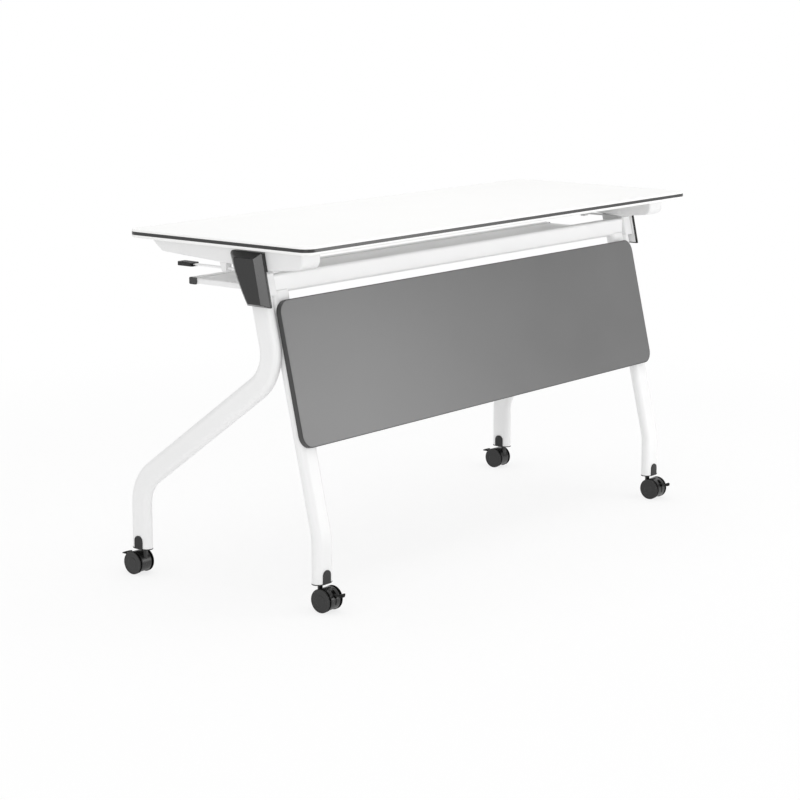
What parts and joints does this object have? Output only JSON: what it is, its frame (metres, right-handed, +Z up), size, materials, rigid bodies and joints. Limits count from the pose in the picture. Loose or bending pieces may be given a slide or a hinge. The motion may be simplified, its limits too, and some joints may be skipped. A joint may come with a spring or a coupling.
{
  "type": "folding desk",
  "caption": "Flip-top training table on braked twin-wheel castors: slim rounded top on tilting arms, bent oval tube legs, modesty panel and book shelf under the top.",
  "frame": {"origin": "on the floor, midway between the four castor stems", "axes": "+X along the width to the right as seen from the panel side, +Y towards the user, +Z up"},
  "size_m": [1.4, 0.5916, 0.755],
  "materials": {
    "white_laminate": "white melamine, satin",
    "dark_edge_strip": "dark grey edge strip",
    "white_cast_metal": "white powder coat on castings",
    "white_painted_steel": "white powder coat on tube and sheet",
    "grey_board": "mid grey melamine, matt",
    "black_plastic": "black moulded plastic, fine grain",
    "castor_hood_plastic": "black nylon",
    "castor_wheel_nylon": "dark grey nylon",
    "zinc_plated_steel": "bright zinc plating",
    "pad_rubber": "black rubber"
  },
  "bodies": {
    "frame": {"rear_leg_left": "white_painted_steel", "rear_leg_right": "white_painted_steel", "front_leg_left": "white_painted_steel", "front_leg_right": "white_painted_steel", "hinge_bracket_left": "white_cast_metal", "hinge_bracket_right": "white_cast_metal", "hinge_cover_left": "black_plastic", "hinge_cover_right": "black_plastic", "stop_pads": "pad_rubber", "crossbeam": "white_painted_steel", "modesty_panel": "grey_board", "panel_screws": "zinc_plated_steel", "tray_rail_left": "white_painted_steel", "tray_rail_right": "white_painted_steel", "tray_shelf": "white_painted_steel", "tray_rear_tube": "white_painted_steel", "tray_end_caps": "black_plastic", "leg_plug_front_left": "black_plastic", "leg_plug_front_right": "black_plastic", "leg_plug_rear_left": "black_plastic", "leg_plug_rear_right": "black_plastic"},
    "top": {"tabletop": "white_laminate", "edge_band": "dark_edge_strip", "support_arm_left": "white_cast_metal", "support_arm_right": "white_cast_metal", "hinge_pin_left": "white_painted_steel", "hinge_pin_right": "white_painted_steel", "rod_guide_left": "white_cast_metal", "rod_guide_right": "white_cast_metal", "arm_screws": "zinc_plated_steel"},
    "latch_left": {"latch_rod_left": "white_painted_steel", "pull_grip_left": "black_plastic"},
    "latch_right": {"latch_rod_right": "white_painted_steel", "pull_grip_right": "black_plastic"},
    "castor_front_left": {"castor_body_front_left": "castor_hood_plastic"},
    "wheels_front_left": {"wheel_outer_front_left": "castor_wheel_nylon", "wheel_inner_front_left": "castor_wheel_nylon", "axle_front_left": "zinc_plated_steel"},
    "brake_front_left": {"brake_pedal_front_left": "castor_hood_plastic"},
    "castor_front_right": {"castor_body_front_right": "castor_hood_plastic"},
    "wheels_front_right": {"wheel_outer_front_right": "castor_wheel_nylon", "wheel_inner_front_right": "castor_wheel_nylon", "axle_front_right": "zinc_plated_steel"},
    "brake_front_right": {"brake_pedal_front_right": "castor_hood_plastic"},
    "castor_rear_left": {"castor_body_rear_left": "castor_hood_plastic"},
    "wheels_rear_left": {"wheel_outer_rear_left": "castor_wheel_nylon", "wheel_inner_rear_left": "castor_wheel_nylon", "axle_rear_left": "zinc_plated_steel"},
    "brake_rear_left": {"brake_pedal_rear_left": "castor_hood_plastic"},
    "castor_rear_right": {"castor_body_rear_right": "castor_hood_plastic"},
    "wheels_rear_right": {"wheel_outer_rear_right": "castor_wheel_nylon", "wheel_inner_rear_right": "castor_wheel_nylon", "axle_rear_right": "zinc_plated_steel"},
    "brake_rear_right": {"brake_pedal_rear_right": "castor_hood_plastic"}
  },
  "joints": [
    {"name": "top_flip", "type": "hinge", "parent": "frame", "child": "top", "pos_m": [0, -0.145, 0.7], "axis": [1, 0, 0], "range_deg": [0, 80]},
    {"name": "latch_pull_left", "type": "slide", "parent": "top", "child": "latch_left", "axis": [0, 1, 0], "range_m": [0, 0.012], "stiffness_N_per_m": 400, "springref_m": -0.01},
    {"name": "latch_pull_right", "type": "slide", "parent": "top", "child": "latch_right", "axis": [0, 1, 0], "range_m": [0, 0.012], "stiffness_N_per_m": 400, "springref_m": -0.01},
    {"name": "castor_swivel_front_left", "type": "hinge", "parent": "frame", "child": "castor_front_left", "pos_m": [-0.6158, -0.23375, 0.07], "axis": [0, 0, 1], "continuous": true},
    {"name": "wheel_roll_front_left", "type": "hinge", "parent": "castor_front_left", "child": "wheels_front_left", "pos_m": [-0.6158, -0.25175, 0.025], "axis": [1, 0, 0], "continuous": true},
    {"name": "brake_tip_front_left", "type": "hinge", "parent": "castor_front_left", "child": "brake_front_left", "pos_m": [-0.6158, -0.26875, 0.036], "axis": [-1, 0, 0], "range_deg": [0, 15]},
    {"name": "castor_swivel_front_right", "type": "hinge", "parent": "frame", "child": "castor_front_right", "pos_m": [0.6158, -0.23375, 0.07], "axis": [0, 0, 1], "continuous": true},
    {"name": "wheel_roll_front_right", "type": "hinge", "parent": "castor_front_right", "child": "wheels_front_right", "pos_m": [0.6158, -0.25175, 0.025], "axis": [1, 0, 0], "continuous": true},
    {"name": "brake_tip_front_right", "type": "hinge", "parent": "castor_front_right", "child": "brake_front_right", "pos_m": [0.6158, -0.26875, 0.036], "axis": [-1, 0, 0], "range_deg": [0, 15]},
    {"name": "castor_swivel_rear_left", "type": "hinge", "parent": "frame", "child": "castor_rear_left", "pos_m": [-0.6535, 0.23375, 0.07], "axis": [0, 0, 1], "continuous": true},
    {"name": "wheel_roll_rear_left", "type": "hinge", "parent": "castor_rear_left", "child": "wheels_rear_left", "pos_m": [-0.6535, 0.25175, 0.025], "axis": [1, 0, 0], "continuous": true},
    {"name": "brake_tip_rear_left", "type": "hinge", "parent": "castor_rear_left", "child": "brake_rear_left", "pos_m": [-0.6535, 0.26875, 0.036], "axis": [1, 0, 0], "range_deg": [0, 15]},
    {"name": "castor_swivel_rear_right", "type": "hinge", "parent": "frame", "child": "castor_rear_right", "pos_m": [0.6535, 0.23375, 0.07], "axis": [0, 0, 1], "continuous": true},
    {"name": "wheel_roll_rear_right", "type": "hinge", "parent": "castor_rear_right", "child": "wheels_rear_right", "pos_m": [0.6535, 0.25175, 0.025], "axis": [1, 0, 0], "continuous": true},
    {"name": "brake_tip_rear_right", "type": "hinge", "parent": "castor_rear_right", "child": "brake_rear_right", "pos_m": [0.6535, 0.26875, 0.036], "axis": [1, 0, 0], "range_deg": [0, 15]}
  ]
}
